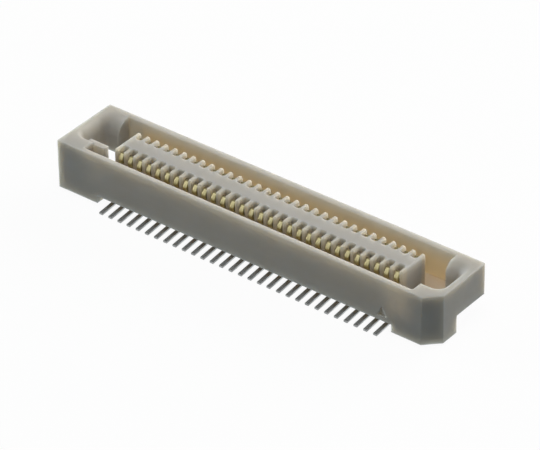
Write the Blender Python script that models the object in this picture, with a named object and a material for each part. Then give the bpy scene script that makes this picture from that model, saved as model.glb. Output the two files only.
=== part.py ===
"""Board to board connector with two rows of surface mount contacts.

Blender 4.5 script, metres, +Z up. The board is the plane z = 0 and the origin is at
the middle of the part. X runs along the rows, and the front row is on the -Y side.
"""
import math

import bmesh
import bpy
from mathutils import Matrix, Vector

# Contact rows, whose middle is a little to the right of the housing's
PITCH = 0.0006
CONTACTS_PER_ROW = 30
ROW_SHIFT = 0.00005

# Housing, across the rows
TONGUE_HALF_WIDTH = 0.00098
SLOT_DEPTH = 0.00054
CHANNEL_WIDTH = 0.00082
SIDE_WALL = 0.00033

# Housing, along the rows
SLOT_SIDE_GAP = 0.0001
TONGUE_END_WALL = 0.0002
END_GAP = 0.00125
POCKET_DEPTH = 0.00095
END_WALL = 0.00061

# Housing, heights
RIM_HEIGHT = 0.003
FLOOR_UNDERSIDE = 0.0006
FLOOR_THICKNESS = 0.0006
SLOT_FLOOR_DROP = 0.0001
FOOT_CLEARANCE = 0.00014
NOTCH_RISE = 0.00058

# Guide pockets at the two ends
POCKET_HALF_WIDTH = 0.00088
POCKET_CORNER = 0.00035
POCKET_LEAD_IN = 0.00038
HOLE_INSET = 0.0004

# Feet, corner cut and polarity features
FOOT_GAP = 0.00053
FOOT_DEPTH = 0.0019
NOTCH_LENGTH = 0.0015
CORNER_CUT = 0.00078
EDGE_RADIUS = 0.00005
KEY_WALL = 0.00018
KEY_LENGTH = 0.00077
KEY_DROP = 0.00015
MARK_WIDTH = 0.00052
MARK_HEIGHT = 0.00055
MARK_RAISE = 0.00026
MARK_DEPTH = 0.00003

# Contacts: one stamped strip, bent
CONTACT_WIDTH = 0.0002
CONTACT_THICKNESS = 0.00012
CONTACT_CLEARANCE = 0.00002
TAIL_REACH = 0.00054
TAIL_RISE = 0.00017
STEM_INSET = 0.00018
STEM_RISE = 0.0004
BUMP_PROUD = 0.00013
BUMP_DROP = 0.00057
CREST_INSET = 0.00019
CREST_DROP = 0.00022
TIP_INSET = 0.00034
TIP_DROP = 0.00019
BEND_RADIUS = 0.0002
BUMP_RADIUS = 0.00018
CREST_RADIUS = 0.0001

# How finely round shapes are cut
ARC_STEP = math.radians(23)
EDGE_SEGMENTS = 3

# Worked out from the sizes above
SLOT_WIDTH = CONTACT_WIDTH + 2 * SLOT_SIDE_GAP
ROW_HALF = (CONTACTS_PER_ROW - 1) * PITCH / 2
TONGUE_HALF_LENGTH = ROW_HALF + SLOT_WIDTH / 2 + TONGUE_END_WALL
CHANNEL_HALF_LENGTH = TONGUE_HALF_LENGTH + END_GAP
POCKET_END = CHANNEL_HALF_LENGTH + POCKET_DEPTH
HALF_LENGTH = POCKET_END + END_WALL
CHANNEL_HALF_WIDTH = TONGUE_HALF_WIDTH + CHANNEL_WIDTH
HALF_WIDTH = CHANNEL_HALF_WIDTH + SIDE_WALL
FLOOR_TOP = FLOOR_UNDERSIDE + FLOOR_THICKNESS
FLOOR_MIDDLE = FLOOR_UNDERSIDE + FLOOR_THICKNESS / 2
STEM_OFFSET = TONGUE_HALF_WIDTH - STEM_INSET
TAIL_TIP = HALF_WIDTH + TAIL_REACH

# Cutters pass the faces that they cut, and joined pieces sink into each other
CUT_REACH = END_WALL
JOIN_DEPTH = CONTACT_CLEARANCE

COLOURS = {
    "lcp": ((0.42, 0.40, 0.35, 1.0), 0.55, 0.0),
    "gold": ((0.86, 0.66, 0.28, 1.0), 0.25, 1.0),
}


def clear_scene():
    """Remove what the start-up file holds."""
    for thing in list(bpy.data.objects):
        bpy.data.objects.remove(thing)


def make_collection(name):
    """Add a collection to the scene."""
    group = bpy.data.collections.new(name)
    bpy.context.scene.collection.children.link(group)
    return group


def make_material(name):
    """Principled material from the colour table."""
    colour, roughness, metallic = COLOURS[name]
    material = bpy.data.materials.new(name)
    material.use_nodes = True
    shader = material.node_tree.nodes["Principled BSDF"]
    shader.inputs["Base Color"].default_value = colour
    shader.inputs["Roughness"].default_value = roughness
    shader.inputs["Metallic"].default_value = metallic
    return material


def mesh_object(name, build, group, material=None):
    """Turn a bmesh into an object in a collection."""
    bmesh.ops.recalc_face_normals(build, faces=build.faces)
    mesh = bpy.data.meshes.new(name)
    build.to_mesh(mesh)
    build.free()
    thing = bpy.data.objects.new(name, mesh)
    if material:
        mesh.materials.append(material)
    group.objects.link(thing)
    return thing


def add_box(build, low, high):
    """Add a box between two corners to a bmesh."""
    low, high = Vector(low), Vector(high)
    size = high - low
    place = Matrix.Translation((low + high) / 2) @ Matrix.Diagonal((*size, 1.0))
    bmesh.ops.create_cube(build, size=1.0, matrix=place)


def add_prism(build, outline, vector):
    """Add a prism: a flat outline of 3-D points carried along a vector."""
    corners = [build.verts.new(point) for point in outline]
    face = build.faces.new(corners)
    swept = bmesh.ops.extrude_face_region(build, geom=[face], use_keep_orig=True)
    moved = [item for item in swept["geom"] if isinstance(item, bmesh.types.BMVert)]
    bmesh.ops.translate(build, verts=moved, vec=vector)


def arc(centre, radius, start, end):
    """Points of a circular arc, both ends included."""
    count = max(1, math.ceil(abs(end - start) / ARC_STEP))
    angles = [start + (end - start) * i / count for i in range(count + 1)]
    return [(centre[0] + radius * math.cos(a), centre[1] + radius * math.sin(a)) for a in angles]


def rounded_rectangle(x0, x1, y0, y1, radius):
    """Outline of a rectangle with round corners, anticlockwise."""
    quarter = math.pi / 2
    corners = [(x1, y1, 0), (x0, y1, 1), (x0, y0, 2), (x1, y0, 3)]
    points = []
    for x, y, turn in corners:
        centre = (x - math.copysign(radius, x - (x0 + x1) / 2), y - math.copysign(radius, y))
        points += arc(centre, radius, turn * quarter, (turn + 1) * quarter)
    return points


def add_loft(build, sections):
    """Close a stack of outlines that have as many points each, given as (outline, z)."""
    loops = []
    for outline, z in sections:
        loops.append([build.verts.new((x, y, z)) for x, y in outline])
    count = len(loops[0])
    for lower, upper in zip(loops, loops[1:]):
        for i in range(count):
            k = (i + 1) % count
            build.faces.new((lower[i], lower[k], upper[k], upper[i]))
    build.faces.new(reversed(loops[0]))
    build.faces.new(loops[-1])


def make_body(group, material):
    """Outer block of the housing: one cut corner, the other upright edges and the rim round."""
    build = bmesh.new()
    x, y = HALF_LENGTH, HALF_WIDTH
    outline = [(x, y), (-x, y), (-x, -y), (x - CORNER_CUT, -y), (x, CORNER_CUT - y)]
    points = [(*corner, FOOT_CLEARANCE) for corner in outline]
    add_prism(build, points, (0.0, 0.0, RIM_HEIGHT - FOOT_CLEARANCE))
    middle = (RIM_HEIGHT + FOOT_CLEARANCE) / 2
    square = [Vector(corner) for corner in outline[:3]]
    edges = []
    for edge in build.edges:
        ends = [vert.co for vert in edge.verts]
        at_rim = min(end.z for end in ends) > middle
        upright = abs(ends[0].z - ends[1].z) > EDGE_RADIUS
        at_square = any((ends[0].xy - corner).length < EDGE_RADIUS for corner in square)
        if at_rim or (upright and at_square):
            edges.append(edge)
    bmesh.ops.recalc_face_normals(build, faces=build.faces)
    bmesh.ops.bevel(
        build, geom=edges, offset=EDGE_RADIUS, segments=EDGE_SEGMENTS, profile=0.5, affect="EDGES"
    )
    return mesh_object("housing", build, group, material)


def make_channel_cutter(group):
    """Trough that takes the mating half, around the tongue."""
    build = bmesh.new()
    low = (-CHANNEL_HALF_LENGTH, -CHANNEL_HALF_WIDTH, FLOOR_TOP)
    high = (CHANNEL_HALF_LENGTH, CHANNEL_HALF_WIDTH, RIM_HEIGHT + CUT_REACH)
    add_box(build, low, high)
    return mesh_object("cut_channel", build, group)


def make_pocket_cutter(name, side, group):
    """Guide pocket: a through hole with round corners and a round lead-in at the top."""
    inner = TONGUE_HALF_LENGTH + HOLE_INSET
    levels = [(0.0, -CUT_REACH)]
    for across, up in arc((0.0, 0.0), POCKET_LEAD_IN, math.pi, math.pi / 2):
        levels.append((POCKET_LEAD_IN + across, RIM_HEIGHT - POCKET_LEAD_IN + up))
    levels.append((POCKET_LEAD_IN, RIM_HEIGHT + CUT_REACH))
    sections = []
    for grow, z in levels:
        wide = POCKET_HALF_WIDTH + grow
        points = rounded_rectangle(inner - grow, POCKET_END + grow, -wide, wide, POCKET_CORNER + grow)
        sections.append(([(side * x, y) for x, y in points], z))
    build = bmesh.new()
    add_loft(build, sections)
    return mesh_object(name, build, group)


def make_underside_cutter(group):
    """Space under the housing: between the feet, and the notch behind each foot."""
    build = bmesh.new()
    long, wide = HALF_LENGTH + CUT_REACH, HALF_WIDTH + CUT_REACH
    start = ROW_HALF + CONTACT_WIDTH / 2 + FOOT_GAP
    back = FOOT_DEPTH - HALF_WIDTH
    outline = [(-start, -wide), (start, -wide), (start, back), (long, back)]
    outline += [(long, wide), (-long, wide), (-long, back), (-start, back)]
    points = [(x, y, -CUT_REACH) for x, y in outline]
    add_prism(build, points, (0.0, 0.0, CUT_REACH + FLOOR_UNDERSIDE))
    return mesh_object("cut_underside", build, group)


def make_notch_cutter(name, side, group):
    """Higher notch in the back half of one end."""
    build = bmesh.new()
    start = side * (HALF_LENGTH - NOTCH_LENGTH)
    end = side * (HALF_LENGTH + CUT_REACH)
    low = (min(start, end), FOOT_DEPTH - HALF_WIDTH, -CUT_REACH)
    high = (max(start, end), HALF_WIDTH + CUT_REACH, FLOOR_UNDERSIDE + NOTCH_RISE)
    add_box(build, low, high)
    return mesh_object(name, build, group)


def make_tongue(group):
    """Centre tongue that carries both rows."""
    build = bmesh.new()
    low = (ROW_SHIFT - TONGUE_HALF_LENGTH, -TONGUE_HALF_WIDTH, FLOOR_MIDDLE)
    high = (ROW_SHIFT + TONGUE_HALF_LENGTH, TONGUE_HALF_WIDTH, RIM_HEIGHT)
    add_box(build, low, high)
    return mesh_object("join_tongue", build, group)


def make_key_wall(group):
    """Thin wall at one end that keys the mating half."""
    build = bmesh.new()
    front = -TONGUE_HALF_WIDTH
    low = (-CHANNEL_HALF_LENGTH - JOIN_DEPTH, front, FLOOR_MIDDLE)
    high = (-CHANNEL_HALF_LENGTH + KEY_LENGTH, front + KEY_WALL, RIM_HEIGHT - KEY_DROP)
    add_box(build, low, high)
    return mesh_object("join_key_wall", build, group)


def row_positions():
    """X of each contact in a row, left to right."""
    return [ROW_SHIFT - ROW_HALF + i * PITCH for i in range(CONTACTS_PER_ROW)]


def make_slot_cutter(group):
    """Slots in both sides of the tongue, each with its hole through the floor."""
    build = bmesh.new()
    half_slot = SLOT_WIDTH / 2
    half_hole = CONTACT_WIDTH / 2 + CONTACT_CLEARANCE
    half_stem = CONTACT_THICKNESS / 2 + CONTACT_CLEARANCE
    slot_floor = FLOOR_TOP - SLOT_FLOOR_DROP
    for x in row_positions():
        for side in (-1, 1):
            near = side * (TONGUE_HALF_WIDTH - SLOT_DEPTH)
            far = side * (TONGUE_HALF_WIDTH + half_stem)
            low = (x - half_slot, min(near, far), slot_floor)
            high = (x + half_slot, max(near, far), RIM_HEIGHT + CUT_REACH)
            add_box(build, low, high)
    slots = mesh_object("cut_slots", build, group)
    build = bmesh.new()
    for x in row_positions():
        for side in (-1, 1):
            centre = side * STEM_OFFSET
            low = (x - half_hole, centre - half_stem, -CUT_REACH)
            high = (x + half_hole, centre + half_stem, (slot_floor + RIM_HEIGHT) / 2)
            add_box(build, low, high)
    holes = mesh_object("cut_contact_holes", build, group)
    return slots, holes


def make_mark_cutter(group):
    """Shallow triangle over the last contact of the front row."""
    build = bmesh.new()
    front, base = -HALF_WIDTH - CUT_REACH, FLOOR_UNDERSIDE + MARK_RAISE
    middle = ROW_SHIFT + ROW_HALF
    outline = [
        (middle - MARK_WIDTH / 2, front, base),
        (middle + MARK_WIDTH / 2, front, base),
        (middle, front, base + MARK_HEIGHT),
    ]
    add_prism(build, outline, (0.0, CUT_REACH + MARK_DEPTH, 0.0))
    return mesh_object("cut_mark", build, group)


def round_corner(before, corner, after, radius):
    """Replace the corner of a path by an arc of the given radius."""
    before, corner, after = Vector(before), Vector(corner), Vector(after)
    first, second = (before - corner).normalized(), (after - corner).normalized()
    half = first.angle(second) / 2
    leg = radius / math.tan(half)
    centre = corner + (first + second).normalized() * (radius / math.sin(half))
    start, end = corner + first * leg - centre, corner + second * leg - centre
    turn = start.angle_signed(end)
    count = max(1, math.ceil(abs(turn) / ARC_STEP))
    return [centre + Matrix.Rotation(-turn * i / count, 2) @ start for i in range(count + 1)]


def contact_path():
    """Middle line of a contact as (distance from the centre plane, height)."""
    side_face = TONGUE_HALF_WIDTH
    run = TAIL_TIP - STEM_OFFSET
    tail_height = CONTACT_THICKNESS / 2 * run / math.hypot(run, TAIL_RISE)
    corners = [
        (TAIL_TIP, tail_height, 0.0),
        (STEM_OFFSET, tail_height + TAIL_RISE, BEND_RADIUS),
        (STEM_OFFSET, FLOOR_TOP + STEM_RISE, BUMP_RADIUS),
        (side_face + BUMP_PROUD - CONTACT_THICKNESS / 2, RIM_HEIGHT - BUMP_DROP, BUMP_RADIUS),
        (side_face - CREST_INSET, RIM_HEIGHT - CREST_DROP, CREST_RADIUS),
        (side_face - TIP_INSET, RIM_HEIGHT - TIP_DROP, 0.0),
    ]
    path = [Vector(corners[0][:2])]
    for before, corner, after in zip(corners, corners[1:], corners[2:]):
        path += round_corner(before[:2], corner[:2], after[:2], corner[2])
    path.append(Vector(corners[-1][:2]))
    return path


def strip_outline(path, thickness):
    """Outline of a strip that follows a path, moved half its thickness to each side."""
    left, right = [], []
    for i, point in enumerate(path):
        back = (point - path[i - 1]).normalized() if i else None
        ahead = (path[i + 1] - point).normalized() if i + 1 < len(path) else None
        along = (back or ahead) + (ahead or back)
        along.normalize()
        normal = Vector((-along.y, along.x))
        stretch = 1.0 / max(normal.dot(Vector((-(ahead or back).y, (ahead or back).x))), 0.5)
        left.append(point + normal * (thickness / 2 * stretch))
        right.append(point - normal * (thickness / 2 * stretch))
    return left + right[::-1]


def add_contact(build, x, side):
    """Add one contact at x; side is -1 for the front row and 1 for the back row."""
    half = CONTACT_WIDTH / 2
    outline = strip_outline(contact_path(), CONTACT_THICKNESS)
    points = [(x - half, side * point.x, point.y) for point in outline]
    add_prism(build, points, (2 * half, 0.0, 0.0))


def make_contacts(group, material):
    """All contacts but the last of the back row, each its own object."""
    for row, side in (("front", -1), ("back", 1)):
        build = bmesh.new()
        add_contact(build, 0.0, side)
        first = None
        for number, x in enumerate(row_positions(), 1):
            if is_fused(row, number):
                continue
            name = f"contact_{row}_{number:02d}"
            if first is None:
                first = mesh_object(name, build, group, material)
                thing = first
            else:
                thing = bpy.data.objects.new(name, first.data)
                group.objects.link(thing)
            thing.location.x = x


def is_fused(row, number):
    """The last contact of the back row is one solid with the housing."""
    return row == "back" and number == CONTACTS_PER_ROW


def make_fused_contact(group):
    """The contact that is joined to the housing, with a stem that fills its hole."""
    build = bmesh.new()
    last = ROW_SHIFT + ROW_HALF
    add_contact(build, last, 1)
    contact = mesh_object("join_contact", build, group)
    half = CONTACT_WIDTH / 2 + CONTACT_CLEARANCE + JOIN_DEPTH
    depth = CONTACT_THICKNESS / 2 + CONTACT_CLEARANCE + JOIN_DEPTH
    thick = (FLOOR_THICKNESS - SLOT_FLOOR_DROP) / 3
    build = bmesh.new()
    low = (last - half, STEM_OFFSET - depth, FLOOR_UNDERSIDE + thick)
    high = (last + half, STEM_OFFSET + depth, FLOOR_UNDERSIDE + 2 * thick)
    add_box(build, low, high)
    plug = mesh_object("join_contact_seat", build, group)
    return contact, plug


def apply_boolean(target, tool, operation):
    """Cut or join a helper object into the target."""
    change = target.modifiers.new(tool.name, "BOOLEAN")
    change.operation = operation
    change.solver = "EXACT"
    change.object = tool
    tool.hide_render = True
    tool.display_type = "WIRE"


def make_housing(group, helpers, material):
    """Housing: cut the trough and pockets, join the tongue, then cut slots and feet."""
    body = make_body(group, material)
    slots, holes = make_slot_cutter(helpers)
    contact, seat = make_fused_contact(helpers)
    steps = [
        (make_channel_cutter(helpers), "DIFFERENCE"),
        (make_pocket_cutter("cut_left_pocket", -1, helpers), "DIFFERENCE"),
        (make_pocket_cutter("cut_right_pocket", 1, helpers), "DIFFERENCE"),
        (make_tongue(helpers), "UNION"),
        (make_key_wall(helpers), "UNION"),
        (slots, "DIFFERENCE"),
        (holes, "DIFFERENCE"),
        (make_underside_cutter(helpers), "DIFFERENCE"),
        (make_notch_cutter("cut_left_notch", -1, helpers), "DIFFERENCE"),
        (make_notch_cutter("cut_right_notch", 1, helpers), "DIFFERENCE"),
        (make_mark_cutter(helpers), "DIFFERENCE"),
        (seat, "UNION"),
        (contact, "UNION"),
    ]
    for tool, operation in steps:
        apply_boolean(body, tool, operation)
    return body


def main():
    """Build the connector."""
    clear_scene()
    parts = make_collection("board_to_board_connector")
    helpers = make_collection("cutters")
    make_housing(parts, helpers, make_material("lcp"))
    make_contacts(parts, make_material("gold"))


main()
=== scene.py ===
"""Looks of a board to board connector: a moulded shroud around a tongue with two rows of
bent contacts. Metres, +Z up, X along the rows; the board is the plane z = 0.
"""

import math

import bpy
import numpy as np
from bpy.props import FloatProperty, FloatVectorProperty, PointerProperty
from mathutils import Matrix, Vector


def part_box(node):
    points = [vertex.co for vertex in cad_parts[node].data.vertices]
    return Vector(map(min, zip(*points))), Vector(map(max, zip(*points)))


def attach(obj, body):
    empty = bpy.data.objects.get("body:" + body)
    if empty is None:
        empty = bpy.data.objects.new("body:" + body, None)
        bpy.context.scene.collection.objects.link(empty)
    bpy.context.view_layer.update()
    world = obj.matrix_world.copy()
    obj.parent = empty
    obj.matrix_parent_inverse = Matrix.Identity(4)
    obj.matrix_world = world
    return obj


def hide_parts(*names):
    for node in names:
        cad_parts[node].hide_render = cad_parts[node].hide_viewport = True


bl_info = {
    "name": "Board to board connector",
    "version": (1, 0, 0),
    "blender": (4, 5, 0),
    "location": "View3D > Sidebar > Connector",
    "description": "Makes a small surface mount connector and the stage that it stands on",
    "category": "Object",
}

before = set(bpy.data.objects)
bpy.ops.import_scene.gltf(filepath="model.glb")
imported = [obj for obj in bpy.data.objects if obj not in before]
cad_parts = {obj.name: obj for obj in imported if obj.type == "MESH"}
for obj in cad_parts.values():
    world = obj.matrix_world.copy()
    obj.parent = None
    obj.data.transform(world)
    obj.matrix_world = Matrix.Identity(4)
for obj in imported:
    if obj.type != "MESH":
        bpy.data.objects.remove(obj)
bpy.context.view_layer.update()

# Places that the frame gives
HOUSING_LOW, HOUSING_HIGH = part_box("housing")
FIRST_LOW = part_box("contact_front_01")[0]
LAST_LOW, LAST_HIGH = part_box("contact_front_30")
HALF_LENGTH = HOUSING_HIGH.x
HALF_WIDTH = -HOUSING_LOW.y
RIM_HEIGHT = HOUSING_HIGH.z
CONTACTS_PER_ROW = 30
ROW_HALF = (LAST_LOW.x - FIRST_LOW.x) / 2
ROW_MIDDLE = (FIRST_LOW.x + LAST_HIGH.x) / 2
TAIL_TIP = -FIRST_LOW.y

QUARTER = math.pi / 2


def mm(value):
    """Millimetres to metres."""
    return value / 1000


# Small roundings and steps of the moulding
SMALLEST_RADIUS = mm(0.002)
FOOT_EDGE = mm(0.03)
FOOT_CORNER = mm(0.05)
NOTCH_CORNER = mm(0.04)
MARK_CORNER = mm(0.03)
CHANNEL_CORNER = mm(0.09)
HOLLOW_EDGE = mm(0.05)
RIB_FLAT = mm(0.01)
KEY_CORNER = mm(0.035)
KEY_EDGES = (mm(0.02), mm(0.03))
KEY_BACK = mm(0.18)

# A contact's grid, its slots for gold, tin and bare bronze, and how much of its tip is bare
GOLD, TIN, BARE = 0, 1, 2
SECTION_POINTS = 28
NOSE_RINGS = 21
NOSE_LENGTH = mm(1)
END_RINGS = 6
END_SHARE = 0.02
SHEARED_END = mm(0.02)

# Angles past which an edge is drawn sharp
HOUSING_CREASE = math.radians(35)
CONTACT_CREASE = math.radians(50)

# Patterns of the polymer, and how far light goes under its skin
FLOW_CLOUD = mm(0.7)
FLOW_STRETCH = (0.35, 1.0, 1.0)
SPARK_GRAIN = mm(0.06)
GRAIN_DEPTH = mm(0.006)
SKIN_DEPTH = mm(1.4)

# Patterns of the metals: size of the clouds, and how far they move the roughness
GOLD_CLOUD = mm(0.3)
TIN_CLOUD = mm(0.2)
BRONZE_CLOUD = mm(0.05)
GLOSS_DRIFT = (-0.06, 0.08)

# Widths over which the painted warm glow and shade of the channel come and go
SLOT_FADE = (mm(-0.04), mm(0.36))
TONGUE_END_FADE = mm(0.2)
WALL_FADE = mm(0.12)
CHANNEL_END_FADE = (mm(-0.05), mm(0.1))
KEY_FADE = mm(0.3)
RIM_FADE = mm(1)
RIB_FADE = mm(0.3)

# Camera, floor and lamps
SENSOR_WIDTH = 36.0
HALF_PIXEL = 0.5 / 540
CLIP_NEAR, CLIP_FAR = mm(10), mm(10000)
AIM = (mm(-0.206), mm(0.579), mm(1.0455))
FLOOR_HALF = mm(400)
FLOOR_DROP = mm(0.01)
PAPER_LIT_SHARE = 0.06
TABLE_DROP = mm(0.005)
LAMP_DISTANCE = mm(300)
SOFT_BOX = (mm(200), mm(200))
STRIP_BOX = (mm(200), mm(60))
SMALL_BOX = (mm(30), mm(30))

# Each lamp: azimuth and elevation in degrees, size and tint
LAMPS = {
    "top": (38, 80, SOFT_BOX, (1, 0.98, 0.94)),
    "back": (165, 22, SOFT_BOX, (1, 0.95, 0.88)),
    "right": (120, 8, STRIP_BOX, (0.85, 0.95, 1)),
    "front": (38, 20, SOFT_BOX, (0.7, 0.92, 1)),
    "left": (-82, 7, STRIP_BOX, (0.93, 1, 1)),
    "glint": (-62, 24, SMALL_BOX, (1, 0.97, 0.9)),
}


def linear(code):
    """Linear colour from an sRGB hex code."""
    parts = np.array([int(code[i : i + 2], 16) for i in (1, 3, 5)]) / 255
    flat = np.where(parts <= 0.04045, parts / 12.92, ((parts + 0.055) / 1.055) ** 2.4)
    return (*flat.tolist(), 1.0)


def length(name, millimetres, description):
    """Property that holds a length, given in millimetres."""
    return FloatProperty(
        name=name, description=description, default=mm(millimetres), min=0.0, unit="LENGTH",
        precision=6,
    )


def colour(name, code, description):
    """Property that holds a colour, given as an sRGB hex code."""
    return FloatVectorProperty(
        name=name, description=description, default=linear(code), size=4, min=0.0, max=1.0,
        subtype="COLOR",
    )


def share(name, value, description):
    """Property that holds a share from 0 to 1."""
    return FloatProperty(
        name=name, description=description, default=value, min=0.0, max=1.0, subtype="FACTOR",
    )


def power(name, watts, description):
    """Property that holds the power of a lamp."""
    return FloatProperty(
        name=name, description=description, default=watts, min=0.0, unit="POWER", precision=6,
    )


def bearing(name, degrees, description):
    """Property that holds an angle, given in degrees."""
    return FloatProperty(
        name=name, description=description, default=math.radians(degrees), subtype="ANGLE",
    )


class ConnectorHousing(bpy.types.PropertyGroup):
    """Sizes of the moulded housing"""

    channel_half_length: length("Channel half length", 10.35, "Middle to the end of the channel")
    channel_half_width: length("Channel half width", 1.8, "Middle to the inside of a side wall")
    channel_bend: length("Channel bend", 0.1, "Rounding where the channel meets a guide pocket")
    channel_floor: length("Channel floor", 1.2, "Height of the bottom of the channel")
    corner_cut: length("Corner cut", 0.78, "Leg of the cut corner")
    edge_radius: length("Edge radius", 0.07, "Rounding of the outer edges")
    rim_radius: length("Rim radius", 0.06, "Rounding of the rim, outside")
    lip_radius: length("Lip radius", 0.1, "Rounding of the rim, inside")
    foot_height: length("Foot height", 0.14, "Underside of the feet above the board")
    underside: length("Underside", 0.6, "Underside of the floor above the board")
    foot_start: length("Foot start", 9.33, "Middle to the inner face of a foot")
    foot_depth: length("Foot depth", 1.9, "Front face to the back of a foot")
    notch_start: length("Notch start", 10.41, "Middle to the inner face of an end notch")
    notch_top: length("Notch top", 1.18, "Height of an end notch above the board")
    pocket_inner: length("Pocket inner side", 9.5, "Middle to the near side of a guide pocket")
    pocket_outer: length("Pocket outer side", 11.3, "Middle to the far side of a guide pocket")
    pocket_half_width: length("Pocket half width", 0.88, "Half width of a guide pocket")
    pocket_corner: length("Pocket corner", 0.35, "Corner radius of a guide pocket")
    pocket_lead_in: length("Pocket lead-in", 0.38, "Width of the round lead-in of a guide pocket")
    pocket_back_flare: length("Pocket back flare", 0.9, "Width of the lead-in on the back side")
    pocket_lead_drop: length("Pocket lead-in drop", 0.95, "Height of the round lead-in")
    tongue_half_length: length("Tongue half length", 9.1, "Middle to the end of the tongue")
    tongue_half_width: length("Tongue half width", 0.98, "Middle to the tips of the ribs")
    slot_width: length("Slot width", 0.34, "Width of the slot of a contact")
    slot_depth: length("Slot depth", 0.54, "Tips of the ribs to the back of a slot")
    rib_radius: length("Rib radius", 0.09, "Rounding of the ribs between slots")
    rib_crest: length("Rib crest", 0.22, "Height over which the tops of the ribs are rounded")
    key_width: length("Key width", 0.34, "Thickness of the key wall")
    key_length: length("Key length", 0.77, "Length of the key wall")
    key_root: length("Key root", 0.4, "How far the key wall runs on into the left end")
    key_drop: length("Key drop", 0.15, "Rim to the top of the key wall")
    mark_width: length("Mark width", 0.52, "Width of the triangle mark")
    mark_height: length("Mark height", 0.55, "Height of the triangle mark")
    mark_base: length("Mark base", 0.86, "Height of the base of the triangle mark")
    mark_depth: length("Mark depth", 0.09, "Depth of the triangle mark")


class ConnectorContact(bpy.types.PropertyGroup):
    """Sizes of one bent contact"""

    width: length("Width", 0.27, "Width of the strip in the housing")
    tail_width: length("Tail width", 0.23, "Width of the tail on the board")
    thickness: length("Thickness", 0.12, "Thickness of the strip")
    nose_thickness: length("Nose thickness", 0.2, "Thickness of the nose at the bump")
    nose_end: length("Nose end", 0.1, "Length over which the tip is rounded off")
    tail_rise: length("Tail rise", 0.17, "Rise of the tail towards the housing")
    stem_offset: length("Stem offset", 0.8, "Middle of the housing to the stem")
    stem_top: length("Stem top", 2.1, "Height where the stem starts to lean out")
    bump_reach: length("Bump reach", 0.98, "Middle of the housing to the bump")
    bump_height: length("Bump height", 2.41, "Height of the bump")
    tip_reach: length("Tip reach", 0.74, "Middle of the housing to the tip")
    tip_height: length("Tip height", 2.8, "Height of the tip")
    tail_bend: length("Tail bend", 0.2, "Bend radius between tail and stem")
    stem_bend: length("Stem bend", 0.2, "Bend radius where the stem leans out")
    bump_bend: length("Bump bend", 0.16, "Bend radius of the bump")
    crown: share("Crown", 0.8, "Roundness of the nose's section: 0 is square, 1 is an ellipse")
    tail_crown: share("Tail crown", 0.25, "Roundness of the tail's section")


class ConnectorFinish(bpy.types.PropertyGroup):
    """Colours of the surfaces"""

    lcp: colour("Housing", "#BEBAB5", "Natural liquid crystal polymer")
    lcp_dark: colour("Housing, flow marks", "#B3AFA6", "Where the melt flowed and the skin is thin")
    # Painted light: a warm tint in the channel and on the ribs stands for light through the thin walls,
    # light bounced in the channel and its shade
    lcp_painted_glow: colour("Housing, thin parts", "#D0BFA8", "Where light passes through the walls and ribs")
    lcp_glow: share("Housing glow", 1.0, "How much light passes under the skin of the housing")
    gold: colour("Contacts", "#D8D0A8", "Gold plate over nickel")
    gold_shade: colour("Contacts, thin plate", "#B0A878", "Where the plate is thinner")
    bronze: colour("Sheared ends", "#8A8262", "Bare phosphor bronze")
    bronze_shade: colour("Sheared ends, tarnished", "#5C543A", "Where the bronze has dulled")
    tin: colour("Tails", "#A6A8A8", "Dull tin plate")
    tin_shade: colour("Tails, stained", "#888B8B", "Where the tin has dulled")


class ConnectorStage(bpy.types.PropertyGroup):
    """Camera, lamps and floor"""

    azimuth: bearing("Azimuth", 38.0946, "Turn of the camera round the object")
    elevation: bearing("Elevation", 34.4894, "Height of the camera as an angle")
    roll: bearing("Roll", -0.6011, "Lean of the camera")
    distance: length("Distance", 206.5, "Camera to the middle of the view")
    lens: FloatProperty(name="Lens", description="Focal length in millimetres", default=273.33, min=1.0)
    top_power: power("Top lamp", 0.385, "Power of the lamp overhead")
    back_power: power("Back lamp", 0.66, "Power of the low lamp behind the object")
    left_power: power("Left lamp", 0.64, "Power of the low lamp at the left")
    right_power: power("Right lamp", 0.13, "Power of the low lamp at the right")
    front_power: power("Front lamp", 0.035, "Power of the weak lamp in front")
    glint_power: power("Glint lamp", 0.03, "Power of the small lamp for the contacts' highlight")
    table_power: power("Light table", 0.00016, "Power of the light table under the object")
    sky: FloatProperty(
        name="Sky", description="Strength of the light from all round", default=0.13, min=0.0,
    )


def turns(corners):
    """Unit directions of the sides that arrive at and leave each corner of a closed outline."""
    leave = np.roll(corners, -1, axis=0) - corners
    leave /= np.linalg.norm(leave, axis=1, keepdims=True)
    return np.roll(leave, 1, axis=0), leave


def cross(first, second):
    """Cross product of flat vectors."""
    return first[..., 0] * second[..., 1] - first[..., 1] * second[..., 0]


def left_of(direction):
    """The direction turned a quarter to the left."""
    return np.stack((-direction[..., 1], direction[..., 0]), axis=-1)


def corner_arcs(corners, arrive, leave, radii, steps):
    """Points on the arc that rounds each corner.

    An arc of radius r touches both sides, so it starts r * tan(turn / 2) before the
    corner, its centre is r to the inner side of that point, and it turns by the same
    angle as the outline. The result is an array (corners, steps, 2).
    """
    turn = np.arctan2(cross(arrive, leave), np.sum(arrive * leave, axis=1))
    side = np.where(turn < 0, -1.0, 1.0)
    start = corners - arrive * (radii * np.tan(np.abs(turn) / 2))[:, None]
    spoke = -left_of(arrive) * (side * radii)[:, None]
    angle = turn[:, None] * np.linspace(0.0, 1.0, steps)
    cosine, sine = np.cos(angle)[..., None], np.sin(angle)[..., None]
    return (start - spoke)[:, None] + spoke[:, None] * cosine + left_of(spoke)[:, None] * sine


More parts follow.
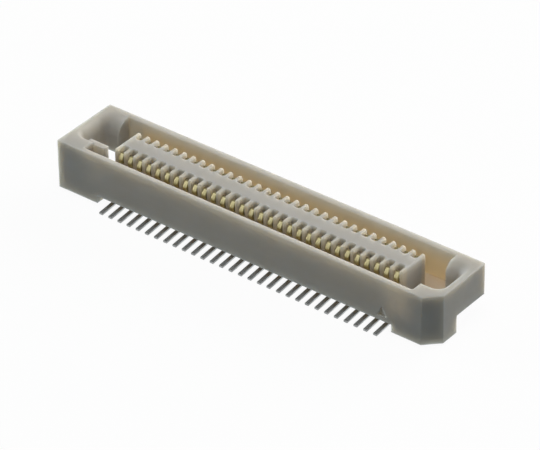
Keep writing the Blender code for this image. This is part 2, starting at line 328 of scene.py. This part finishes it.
def outline(corners, radii, inset=0.0, steps=7):
    """Anticlockwise outline with round corners, moved inwards by the inset.

    Moving both sides of a corner inwards by d moves the corner by d * (n1 + n2) / (1 + n1.n2),
    with n1 and n2 the inward normals, and takes d from the radius of an outer corner.
    """
    corners = np.asarray(corners, float)
    arrive, leave = turns(corners)
    first, second = left_of(arrive), left_of(leave)
    moved = corners + inset * (first + second) / (1 + np.sum(first * second, axis=1))[:, None]
    outer = cross(arrive, leave) > 0
    radii = np.broadcast_to(radii, len(corners)) + np.where(outer, -inset, inset)
    return corner_arcs(moved, arrive, leave, np.maximum(radii, SMALLEST_RADIUS), steps).reshape(-1, 2)


def bent_line(corners, radii, steps=9):
    """Open line through the corners, with an arc at each inner one."""
    corners = np.asarray(corners, float)
    sides = np.diff(corners, axis=0)
    sides /= np.linalg.norm(sides, axis=1, keepdims=True)
    arcs = corner_arcs(corners[1:-1], sides[:-1], sides[1:], np.asarray(radii), steps)
    return np.concatenate((corners[:1], arcs.reshape(-1, 2), corners[-1:]))


def upright(corners, radii, profile, steps=7):
    """Rings of an upright block: at each (inset, z) of the profile, the outline moved in by it."""
    levels = [np.insert(outline(corners, radii, inset, steps), 2, z, axis=1) for inset, z in profile]
    return np.array(levels)


def quarter(inset, z, radius, start, end, steps=6):
    """Profile points (inset, z) of an arc about a centre, from one angle to another."""
    angle = np.linspace(start, end, steps)
    return np.column_stack((inset + radius * np.cos(angle), z + radius * np.sin(angle)))


def rounded_profile(low, high, low_radius, high_radius):
    """Profile (inset, z) of a block whose lower and upper edges are rounded outwards."""
    lower = quarter(low_radius, low + low_radius, low_radius, 3 * QUARTER, 2 * QUARTER)
    upper = quarter(high_radius, high - high_radius, high_radius, 2 * QUARTER, QUARTER)
    return np.concatenate((lower, upper))


def flared_profile(low, high, past, low_radius, flare, drop):
    """Profile of a hollow: its lower edge rounded, its upper edge opening in a round lead-in.

    The opening grows along a quarter of an ellipse, as wide as the flare and as high as the
    drop, and goes on past the upper face.
    """
    lower = quarter(low_radius, low + low_radius, low_radius, 3 * QUARTER, 2 * QUARTER)
    opening = quarter(0.0, 0.0, 1.0, 0.0, QUARTER, steps=12)
    upper = (-flare, high - drop) + opening * (flare, drop)
    return np.concatenate((lower, upper, [(-flare, high + past)]))


def skin(name, rings):
    """Mesh from an array of closed rings (levels, points, 3), with a face over each end."""
    levels, count = rings.shape[:2]
    grid = np.arange(levels * count).reshape(levels, count)
    low, high = grid[:-1], grid[1:]
    quads = np.stack((low, np.roll(low, -1, 1), np.roll(high, -1, 1), high), axis=-1)
    faces = quads.reshape(-1, 4).tolist() + [grid[0, ::-1].tolist(), grid[-1].tolist()]
    mesh = bpy.data.meshes.new(name)
    mesh.from_pydata(rings.reshape(-1, 3), [], faces)
    return mesh


def link(name, mesh):
    """Object at the origin that shows a mesh."""
    thing = bpy.data.objects.new(name, mesh)
    bpy.context.scene.collection.objects.link(thing)
    return thing


def cut_and_join(name, body, steps):
    """Mesh of the body after each (operation, mesh) of the steps, in order."""
    body = link(name, body)
    tools = []
    for operation, mesh in steps:
        tool = link(mesh.name, mesh)
        change = body.modifiers.new(mesh.name, "BOOLEAN")
        change.operation, change.solver, change.object = operation, "EXACT", tool
        tools.append(tool)
    graph = bpy.context.evaluated_depsgraph_get()
    done = bpy.data.meshes.new_from_object(body.evaluated_get(graph))
    for thing in [body, *tools]:
        bpy.data.objects.remove(thing)
    if not done.polygons:
        raise RuntimeError(f"{name} came out empty")
    return done


def finish_edges(thing, angle):
    """Shade smooth, with sharp edges past the angle and flat faces kept flat."""
    thing.data.shade_smooth()
    thing.data.set_sharp_from_angle(angle=angle)
    weights = thing.modifiers.new("flat_faces", "WEIGHTED_NORMAL")
    weights.keep_sharp = True


def body_block(sizes):
    """Outer block: a rectangle with one cut corner, rounded at the foot and at the rim."""
    x, y, cut = HALF_LENGTH, HALF_WIDTH, sizes.corner_cut
    corners = [(x - cut, -y), (x, cut - y), (x, y), (-x, y), (-x, -y)]
    profile = rounded_profile(sizes.foot_height, RIM_HEIGHT, FOOT_EDGE, sizes.rim_radius)
    return skin("body_block", upright(corners, sizes.edge_radius, profile))


def channel_hollow(sizes):
    """Trough round the tongue. It opens by the lip radius, and its ends run into the pockets."""
    x, y, lip = sizes.channel_half_length, sizes.channel_half_width, sizes.lip_radius
    far, inner = sizes.pocket_outer, sizes.pocket_half_width
    half = [(x, -y), (x, -inner), (far, -inner), (far, inner), (x, inner), (x, y)]
    corners = np.array(half + [(-a, -b) for a, b in half])
    radii = [CHANNEL_CORNER, sizes.channel_bend, sizes.pocket_corner]
    radii = np.tile(radii + radii[::-1], 2)
    profile = flared_profile(sizes.channel_floor, RIM_HEIGHT, RIM_HEIGHT, HOLLOW_EDGE, lip, lip)
    return skin("channel_hollow", upright(corners, radii, profile, steps=10))


def pocket_hollow(sizes, side):
    """Guide pocket: a rounded rectangle through the floor that opens in a round lead-in.

    At the back the lead-in is wider: y is stretched there by a factor that grows with the flare,
    from 1 in the straight part to the one that takes the rim to the back flare's width.
    """
    near, far, y = side * sizes.pocket_inner, side * sizes.pocket_outer, sizes.pocket_half_width
    low, high = min(near, far), max(near, far)
    corners = [(low, -y), (high, -y), (high, y), (low, y)]
    flare, drop = sizes.pocket_lead_in, sizes.pocket_lead_drop
    profile = flared_profile(-RIM_HEIGHT, RIM_HEIGHT, RIM_HEIGHT, HOLLOW_EDGE, flare, drop)
    rings = upright(corners, sizes.pocket_corner, profile, steps=12)
    widest = (y + sizes.pocket_back_flare) / (y + flare)
    flared = np.clip(-profile[:, :1] / flare, 0.0, 1.0)
    rings[..., 1] *= np.where(rings[..., 1] > 0, 1 + (widest - 1) * flared, 1.0)
    return skin(f"pocket_hollow_{side}", rings)


def tongue_comb(sizes):
    """Tongue: its outline steps in to the back of a slot and out to a rib at each pitch.

    One side's corners are four per slot, added to the slot's middle, and the other side is
    the same turned by half a turn. The tops of the ribs are a quarter of an ellipse, as wide
    as the ribs' rounding less a small flat, and as high as the crest.
    """
    middles = np.linspace(-ROW_HALF, ROW_HALF, CONTACTS_PER_ROW)
    half, tip = sizes.slot_width / 2, sizes.tongue_half_width
    back = tip - sizes.slot_depth
    step = np.array([(-half, -tip), (-half, -back), (half, -back), (half, -tip)])
    slots = step[None] + np.column_stack((middles, np.zeros_like(middles)))[:, None]
    ends = np.array([(-sizes.tongue_half_length, -tip), (sizes.tongue_half_length, -tip)])
    side = np.concatenate((ends[:1], slots.reshape(-1, 2), ends[1:]))
    low = (sizes.underside + sizes.channel_floor) / 2
    wide, high = sizes.rib_radius - RIB_FLAT, sizes.rib_crest
    round_top = quarter(0.0, 0.0, 1.0, 2 * QUARTER, QUARTER, steps=8)
    crest = (wide, RIM_HEIGHT - high) + round_top * (wide, high)
    profile = np.concatenate(([(0.0, low)], crest))
    corners = np.concatenate((side, -side)) + (ROW_MIDDLE, 0.0)
    return skin("tongue_comb", upright(corners, sizes.rib_radius, profile, steps=5))


def key_wall(sizes):
    """Thin wall between the left end of the channel and the tongue."""
    end, tip = sizes.channel_half_length, sizes.tongue_half_width
    y1 = KEY_BACK - tip
    x0, x1, y0 = -end - sizes.key_root, sizes.key_length - end, y1 - sizes.key_width
    low = (sizes.underside + sizes.channel_floor) / 2
    corners = [(x0, y0), (x1, y0), (x1, y1), (x0, y1)]
    profile = rounded_profile(low, RIM_HEIGHT - sizes.key_drop, *KEY_EDGES)
    return skin("key_wall", upright(corners, KEY_CORNER, profile))


def underside_hollow(sizes):
    """Space under the floor: between the feet in front, and all of the back."""
    far, start, back = 2 * HALF_LENGTH, sizes.foot_start, sizes.foot_depth - HALF_WIDTH
    corners = [(-start, -far), (start, -far), (start, back), (far, back), (far, far)]
    corners += [(-far, far), (-far, back), (-start, back)]
    profile = [(0.0, -RIM_HEIGHT), (0.0, sizes.underside)]
    return skin("underside_hollow", upright(corners, FOOT_CORNER, profile))


def notch_hollow(sizes, side):
    """Higher notch in the back half of one end."""
    near, far = side * sizes.notch_start, side * 2 * HALF_LENGTH
    low, high = min(near, far), max(near, far)
    back = sizes.foot_depth - HALF_WIDTH
    corners = [(low, back), (high, back), (high, HALF_LENGTH), (low, HALF_LENGTH)]
    profile = [(0.0, -RIM_HEIGHT), (0.0, sizes.notch_top)]
    return skin(f"notch_hollow_{side}", upright(corners, NOTCH_CORNER, profile))


def mark_hollow(sizes):
    """Sunk triangle over the last contact of the front row: an outline in x and z along -y."""
    half, base, last = sizes.mark_width / 2, sizes.mark_base, ROW_MIDDLE + ROW_HALF
    corners = [(last - half, base), (last + half, base), (last, base + sizes.mark_height)]
    profile = [(0.0, HALF_WIDTH - sizes.mark_depth), (0.0, 2 * HALF_WIDTH)]
    x, z, depth = np.moveaxis(upright(corners, MARK_CORNER, profile), -1, 0)
    return skin("mark_hollow", np.stack((x, -depth, z), axis=-1))


def make_housing(sizes, finish):
    """Moulded housing, in place of the frame's housing."""
    steps = [
        ("DIFFERENCE", channel_hollow(sizes)),
        ("DIFFERENCE", pocket_hollow(sizes, -1)),
        ("DIFFERENCE", pocket_hollow(sizes, 1)),
        ("UNION", tongue_comb(sizes)),
        ("UNION", key_wall(sizes)),
        ("DIFFERENCE", underside_hollow(sizes)),
        ("DIFFERENCE", notch_hollow(sizes, -1)),
        ("DIFFERENCE", notch_hollow(sizes, 1)),
        ("DIFFERENCE", mark_hollow(sizes)),
    ]
    thing = link("moulded_housing", cut_and_join("moulded_housing", body_block(sizes), steps))
    thing.data.materials.clear()
    thing.data.materials.append(moulded_lcp(finish, sizes))
    finish_edges(thing, HOUSING_CREASE)
    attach(thing, "root")
    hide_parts("housing")


def contact_line(sizes):
    """Middle line of a contact, from the tip of its tail, as (distance, height).

    The tail slopes, so its start is moved by half the thickness along its normal. Its lower
    corner then rests on the board and its upper one is at the tail's reach.
    """
    run = TAIL_TIP - sizes.stem_offset
    slope = math.hypot(run, sizes.tail_rise)
    tail_height = sizes.thickness / 2 * run / slope
    lean = sizes.thickness / 2 * sizes.tail_rise / slope
    corners = [
        (TAIL_TIP - lean, tail_height),
        (sizes.stem_offset, tail_height + sizes.tail_rise),
        (sizes.stem_offset, sizes.stem_top),
        (sizes.bump_reach, sizes.bump_height),
        (sizes.tip_reach, sizes.tip_height),
    ]
    return bent_line(corners, [sizes.tail_bend, sizes.stem_bend, sizes.bump_bend])


def contact_rings(sizes, x, side):
    """Rings of one contact: a crowned section, carried along the middle line.

    The section is a superellipse, |a|^(2/c) + |b|^(2/c) = 1 for a crown c, half the width
    across and half the thickness along the normal of the line. The width grows from the
    tail's to the strip's through the bend of the stem. The thickness and the crown grow to
    the nose's as g = 3h^2 - 2h^3, where h runs from 0 at the stem's top to 1 at the bump, and
    the last bit closes as a quarter of an ellipse.
    """
    line = contact_line(sizes)
    run = np.insert(np.cumsum(np.linalg.norm(np.diff(line, axis=0), axis=1)), 0, 0.0)
    ending = run[-1] - sizes.nose_end * (1 - np.sin(np.linspace(0.0, QUARTER, END_RINGS)))
    nose = np.linspace(run[-1] - NOSE_LENGTH, run[-1], NOSE_RINGS)
    places = np.union1d(run, np.union1d(ending, nose))
    line = np.column_stack([np.interp(places, run, axis) for axis in line.T])
    along = np.gradient(line, places, axis=0)
    along /= np.linalg.norm(along, axis=1, keepdims=True)
    normal = left_of(along)
    turn = np.linspace(0.0, 4 * QUARTER, SECTION_POINTS, endpoint=False)
    rise = np.clip((line[:, 1] - sizes.thickness) / sizes.tail_bend, 0.0, 1.0)
    half_width = (sizes.tail_width + (sizes.width - sizes.tail_width) * rise) / 2
    height = np.clip((line[:, 1] - sizes.stem_top) / (sizes.bump_height - sizes.stem_top), 0.0, 1.0)
    grown = height**2 * (3 - 2 * height)
    crown = (sizes.tail_crown + (sizes.crown - sizes.tail_crown) * grown)[:, None]
    across = np.sign(np.cos(turn)) * np.abs(np.cos(turn)) ** crown
    depth = np.sign(np.sin(turn)) * np.abs(np.sin(turn)) ** crown
    left = np.clip((run[-1] - places) / sizes.nose_end, END_SHARE, 1.0)
    closing = np.sqrt(1 - (1 - left) ** 2)
    thickness = sizes.thickness + (sizes.nose_thickness - sizes.thickness) * grown
    half_thickness = closing * thickness / 2
    wide = half_width[:, None] * across
    flat = line[:, None] + normal[:, None] * (half_thickness[:, None] * depth)[..., None]
    rings = np.stack((x + wide, side * flat[..., 0], flat[..., 1]), axis=-1)
    return rings if side > 0 else rings[:, ::-1]


def make_contact(sizes, materials, name, x, side, nodes):
    """One contact as a piece of its own: gold above the floor, tin below it, bare at its tip."""
    mesh = skin(name, contact_rings(sizes, x, side))
    thing = link(name, mesh)
    for material in materials:
        mesh.materials.append(material)
    centres = np.empty(len(mesh.polygons) * 3, np.float32)
    mesh.polygons.foreach_get("center", centres)
    height = centres.reshape(-1, 3)[:, 2]
    sheared = height > sizes.tip_height - SHEARED_END
    kind = np.where(height < sizes.stem_top / 2, TIN, np.where(sheared, BARE, GOLD))
    mesh.polygons.foreach_set("material_index", kind.astype(np.int32))
    finish_edges(thing, CONTACT_CREASE)
    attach(thing, "root")
    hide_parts(*nodes)


def make_row(sizes, finish, row, side):
    """All contacts of one row, left to right."""
    materials = [gold_plate(finish), tin_plate(finish), sheared_bronze(finish)]
    places = ROW_MIDDLE + np.linspace(-ROW_HALF, ROW_HALF, CONTACTS_PER_ROW)
    for number, x in enumerate(places, 1):
        node = f"contact_{row}_{number:02d}"
        nodes = [node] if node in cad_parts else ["housing"]
        make_contact(sizes, materials, f"bent_{node}", x, side, nodes)


def add_node(tree, kind, settings=None, links=None):
    """Add a node, set its properties and sockets, and link its inputs.

    A socket's key is its name, or its number where several sockets share a name.
    """
    node = tree.nodes.new(kind)
    for key, value in (settings or {}).items():
        if isinstance(key, int) or key in node.inputs:
            node.inputs[key].default_value = value
        else:
            setattr(node, key, value)
    for key, source in (links or {}).items():
        tree.links.new(source, node.inputs[key])
    return node


def new_material(name):
    """Empty material: its tree and its output node."""
    material = bpy.data.materials.new(name)
    material.use_nodes = True
    material.node_tree.nodes.clear()
    return material, material.node_tree, material.node_tree.nodes.new("ShaderNodeOutputMaterial")


def painted_glow_share(tree, place, sizes):
    """Where the painted warm glow and shade go: 1 in the channel with its thin walls and ribs,
    0 on the tongue's core and outside.

    Each ramp rises smoothly from 0 to 1 between two places. With them,
    within = max(past slots, past tongue) * (past key - max(in side wall, in end wall)) and
    share = within - within * near rim * past ribs.
    """
    axes = add_node(tree, "ShaderNodeSeparateXYZ", None, {"Vector": place}).outputs
    values = {"x": axes["X"], "z": axes["Z"]}
    for name in "XY":
        node = add_node(tree, "ShaderNodeMath", {"operation": "ABSOLUTE"}, {0: axes[name]})
        values[f"half {name.lower()}"] = node.outputs[0]
    tip, end = sizes.tongue_half_width, sizes.tongue_half_length
    core, wide, long = tip - sizes.slot_depth, sizes.channel_half_width, sizes.channel_half_length
    key = sizes.key_length - long
    ramps = {
        "past slots": ("half y", core + SLOT_FADE[0], core + SLOT_FADE[1]),
        "past tongue": ("half x", end, end + TONGUE_END_FADE),
        "in side wall": ("half y", wide, wide + WALL_FADE),
        "in end wall": ("half x", long + CHANNEL_END_FADE[0], long + CHANNEL_END_FADE[1]),
        "past key": ("x", key, key + KEY_FADE),
        "near rim": ("z", RIM_HEIGHT - RIM_FADE, RIM_HEIGHT),
        "past ribs": ("half y", tip, tip + RIB_FADE),
    }
    for name, (source, start, stop) in ramps.items():
        settings = {"interpolation_type": "SMOOTHSTEP", "From Min": start, "From Max": stop}
        node = add_node(tree, "ShaderNodeMapRange", settings, {"Value": values[source]})
        values[name] = node.outputs["Result"]
    sums = {
        "past core": ("MAXIMUM", "past slots", "past tongue"),
        "outside": ("MAXIMUM", "in side wall", "in end wall"),
        "inside": ("SUBTRACT", "past key", "outside"),
        "within": ("MULTIPLY", "past core", "inside"),
        "wall top": ("MULTIPLY", "near rim", "past ribs"),
        "top within": ("MULTIPLY", "within", "wall top"),
        "share": ("SUBTRACT", "within", "top within"),
    }
    for name, (operation, first, second) in sums.items():
        links = {0: values[first], 1: values[second]}
        node = add_node(tree, "ShaderNodeMath", {"operation": operation}, links)
        values[name] = node.outputs[0]
    return values["share"]


def moulded_lcp(finish, sizes):
    """Glass filled liquid crystal polymer, moulded: ivory, satin and slightly see-through.

    Light goes in under its skin, which gives thin walls a warm glow and soft edges. The melt's
    flow leaves faint long clouds, and the mould a spark eroded grain as fine as can show. In the
    channel and on the ribs a warm tint paints in more glow, bounced light and shade.
    """
    material, tree, output = new_material("moulded_lcp")
    place = add_node(tree, "ShaderNodeTexCoord").outputs["Object"]
    flow = add_node(tree, "ShaderNodeMapping", {"Scale": FLOW_STRETCH}, {"Vector": place})
    clouds = add_node(
        tree, "ShaderNodeTexNoise", {"Scale": 1 / FLOW_CLOUD, "Detail": 4.0, "Roughness": 0.6},
        {"Vector": flow.outputs["Vector"]},
    )
    tint = add_node(
        tree, "ShaderNodeMix", {"data_type": "RGBA", 6: finish.lcp, 7: finish.lcp_dark},
        {"Factor": clouds.outputs["Fac"]},
    )
    # Painted light: the warm tint in the channel and on the ribs stands for glow through the thin
    # walls, bounced light and shade
    warm = add_node(
        tree, "ShaderNodeMix", {"data_type": "RGBA", 7: finish.lcp_painted_glow},
        {"Factor": painted_glow_share(tree, place, sizes), 6: tint.outputs[2]},
    )
    grain = add_node(
        tree, "ShaderNodeTexNoise", {"Scale": 1 / SPARK_GRAIN, "Detail": 3.0}, {"Vector": place},
    )
    bump = add_node(
        tree, "ShaderNodeBump", {"Strength": 0.35, "Distance": GRAIN_DEPTH},
        {"Height": grain.outputs["Fac"]},
    )
    shader = add_node(
        tree, "ShaderNodeBsdfPrincipled",
        {"Roughness": 0.55, "IOR": 1.5, "Specular IOR Level": 0.2,
         "Subsurface Weight": finish.lcp_glow, "Subsurface Radius": (1.0, 0.9, 0.74),
         "Subsurface Scale": SKIN_DEPTH},
        {"Base Color": warm.outputs[2], "Normal": bump.outputs["Normal"]},
    )
    tree.links.new(shader.outputs["BSDF"], output.inputs["Surface"])
    return material


def plated_metal(name, bright, shade, roughness, cloud_size):
    """Metal plate: its colour and gloss drift a little over the stamped strip."""
    material, tree, output = new_material(name)
    place = add_node(tree, "ShaderNodeTexCoord").outputs["Object"]
    clouds = add_node(
        tree, "ShaderNodeTexNoise", {"Scale": 1 / cloud_size, "Detail": 3.0}, {"Vector": place},
    )
    tint = add_node(
        tree, "ShaderNodeMix", {"data_type": "RGBA", 6: bright, 7: shade},
        {"Factor": clouds.outputs["Fac"]},
    )
    gloss = add_node(
        tree, "ShaderNodeMapRange",
        {"To Min": roughness + GLOSS_DRIFT[0], "To Max": roughness + GLOSS_DRIFT[1]},
        {"Value": clouds.outputs["Fac"]},
    )
    shader = add_node(
        tree, "ShaderNodeBsdfPrincipled", {"Metallic": 1.0},
        {"Base Color": tint.outputs[2], "Roughness": gloss.outputs["Result"]},
    )
    tree.links.new(shader.outputs["BSDF"], output.inputs["Surface"])
    return material


def gold_plate(finish):
    """Gold over nickel on phosphor bronze: pale yellow, with a soft sheen from the stamping."""
    name = "gold_plated_phosphor_bronze"
    found = bpy.data.materials.get(name)
    return found or plated_metal(name, finish.gold, finish.gold_shade, 0.3, GOLD_CLOUD)


def tin_plate(finish):
    """Dull tin on the tails: grey, matt and a little uneven, so that it takes solder."""
    name = "tin_plated_tail"
    found = bpy.data.materials.get(name)
    return found or plated_metal(name, finish.tin, finish.tin_shade, 0.42, TIN_CLOUD)


def sheared_bronze(finish):
    """Bare phosphor bronze where the strip was sheared off after plating: brown and dull."""
    name = "sheared_phosphor_bronze"
    found = bpy.data.materials.get(name)
    return found or plated_metal(name, finish.bronze, finish.bronze_shade, 0.5, BRONZE_CLOUD)


def facing(azimuth, elevation):
    """Turn that points a camera or a lamp at the object from an azimuth and an elevation."""
    return Matrix.Rotation(azimuth, 4, "Z") @ Matrix.Rotation(QUARTER - elevation, 4, "X")


def add_camera(settings):
    """Camera at the photograph's angle, with its shift for half a pixel of the frame."""
    data = bpy.data.cameras.new("camera")
    data.sensor_width = SENSOR_WIDTH
    data.lens = settings.lens
    data.shift_x, data.shift_y = -HALF_PIXEL, HALF_PIXEL
    data.clip_start, data.clip_end = CLIP_NEAR, CLIP_FAR
    camera = link("camera", data)
    turn = facing(settings.azimuth, settings.elevation) @ Matrix.Rotation(settings.roll, 4, "Z")
    place = Vector(AIM) + turn.to_3x3() @ Vector((0, 0, settings.distance))
    camera.matrix_world = Matrix.Translation(place) @ turn
    bpy.context.scene.camera = camera


def add_lamp(name, azimuth, elevation, distance, size, watts, tint):
    """Soft box at an angle in degrees round the object, facing it."""
    data = bpy.data.lights.new(name, "AREA")
    data.shape, (data.size, data.size_y) = "RECTANGLE", size
    data.energy, data.color = watts, tint
    lamp = link(name, data)
    turn = facing(math.radians(azimuth), math.radians(elevation))
    lamp.matrix_world = turn @ Matrix.Translation((0, 0, distance))
    return lamp


def seen_directly(tree):
    """1 for rays from the camera, a mirror or glass, and 0 for light on a surface."""
    path = add_node(tree, "ShaderNodeLightPath").outputs
    seen = path["Is Camera Ray"]
    for kind in ("Is Glossy Ray", "Is Transmission Ray"):
        links = {0: seen, 1: path[kind]}
        seen = add_node(tree, "ShaderNodeMath", {"operation": "MAXIMUM"}, links).outputs[0]
    return seen


def light_sky(strength):
    """World that looks white and lights the object softly from all round."""
    world = bpy.data.worlds.new("white_room")
    world.use_nodes = True
    tree = world.node_tree
    tree.nodes.clear()
    soft = add_node(
        tree, "ShaderNodeBackground", {"Color": linear("#CDE8FF"), "Strength": strength},
    )
    white = add_node(
        tree, "ShaderNodeBackground", {"Color": linear("#FFFFFF"), "Strength": 1.0},
    )
    both = add_node(
        tree, "ShaderNodeMixShader", None,
        {"Fac": seen_directly(tree), 1: soft.outputs[0], 2: white.outputs[0]},
    )
    add_node(tree, "ShaderNodeOutputWorld", None, {"Surface": both.outputs[0]})
    bpy.context.scene.world = world


def white_paper():
    """Matt white paper under the object: it looks evenly white and keeps a faint shadow."""
    material, tree, output = new_material("matt_white_paper")
    grey = add_node(tree, "ShaderNodeBsdfDiffuse", {"Color": linear("#484E50")})
    lit = add_node(tree, "ShaderNodeBsdfDiffuse", {"Color": linear("#FAFAFA")})
    white = add_node(
        tree, "ShaderNodeEmission", {"Color": linear("#FFFFFF"), "Strength": 1.0},
    )
    shown = add_node(
        tree, "ShaderNodeMixShader", {"Fac": PAPER_LIT_SHARE},
        {1: white.outputs[0], 2: lit.outputs[0]},
    )
    both = add_node(
        tree, "ShaderNodeMixShader", None,
        {"Fac": seen_directly(tree), 1: grey.outputs[0], 2: shown.outputs[0]},
    )
    tree.links.new(both.outputs[0], output.inputs["Surface"])
    return material


def make_stage(settings):
    """Floor, lamps, sky and camera."""
    corners = FLOOR_HALF * np.array([(-1, -1), (1, -1), (1, 1), (-1, 1)])
    mesh = bpy.data.meshes.new("floor")
    mesh.from_pydata(np.insert(corners, 2, -FLOOR_DROP, axis=1), [], [(0, 1, 2, 3)])
    mesh.materials.append(white_paper())
    link("floor", mesh)
    add_camera(settings)
    for name, (azimuth, elevation, size, tint) in LAMPS.items():
        watts = getattr(settings, f"{name}_power")
        add_lamp(f"{name}_lamp", azimuth, elevation, LAMP_DISTANCE, size, watts, tint)
    foot = (2 * HALF_LENGTH, 2 * HALF_WIDTH)
    table = add_lamp("light_table", 0, -90, TABLE_DROP, foot, settings.table_power, (0.9, 0.97, 1))
    table.visible_camera = False
    light_sky(settings.sky)
    bpy.context.scene.view_settings.view_transform = "Standard"


class CONNECTOR_OT_housing(bpy.types.Operator):
    """Make the moulded housing"""

    bl_idname = "connector.housing"
    bl_label = "Moulded housing"

    def execute(self, context):
        make_housing(context.scene.connector_housing, context.scene.connector_finish)
        return {"FINISHED"}


class CONNECTOR_OT_front_row(bpy.types.Operator):
    """Make the thirty contacts of the front row"""

    bl_idname = "connector.front_row"
    bl_label = "Front row of contacts"

    def execute(self, context):
        make_row(context.scene.connector_contact, context.scene.connector_finish, "front", -1)
        return {"FINISHED"}


class CONNECTOR_OT_back_row(bpy.types.Operator):
    """Make the thirty contacts of the back row"""

    bl_idname = "connector.back_row"
    bl_label = "Back row of contacts"

    def execute(self, context):
        make_row(context.scene.connector_contact, context.scene.connector_finish, "back", 1)
        return {"FINISHED"}


class CONNECTOR_OT_stage(bpy.types.Operator):
    """Make the floor, the lamps and the camera"""

    bl_idname = "connector.stage"
    bl_label = "Stage"

    def execute(self, context):
        make_stage(context.scene.connector_stage)
        return {"FINISHED"}


class CONNECTOR_PT_parts(bpy.types.Panel):
    """Lists what can be made"""

    bl_idname = "CONNECTOR_PT_parts"
    bl_label = "Connector"
    bl_space_type = "VIEW_3D"
    bl_region_type = "UI"
    bl_category = "Connector"

    def draw(self, context):
        for operator in OPERATORS:
            self.layout.operator(operator.bl_idname)


OPERATORS = (CONNECTOR_OT_housing, CONNECTOR_OT_front_row, CONNECTOR_OT_back_row, CONNECTOR_OT_stage)
GROUPS = {
    "connector_housing": ConnectorHousing,
    "connector_contact": ConnectorContact,
    "connector_finish": ConnectorFinish,
    "connector_stage": ConnectorStage,
}


def register():
    """Register the classes and hang their settings on the scene."""
    for item in (*GROUPS.values(), *OPERATORS, CONNECTOR_PT_parts):
        bpy.utils.register_class(item)
    for name, group in GROUPS.items():
        setattr(bpy.types.Scene, name, PointerProperty(type=group))


def unregister():
    """Take back what register did."""
    for name in GROUPS:
        delattr(bpy.types.Scene, name)
    for item in (CONNECTOR_PT_parts, *reversed(OPERATORS), *reversed(GROUPS.values())):
        bpy.utils.unregister_class(item)


def main():
    """Make every piece and the stage."""
    register()
    bpy.ops.connector.housing()
    bpy.ops.connector.front_row()
    bpy.ops.connector.back_row()
    bpy.ops.connector.stage()


if __name__ == "__main__":
    main()
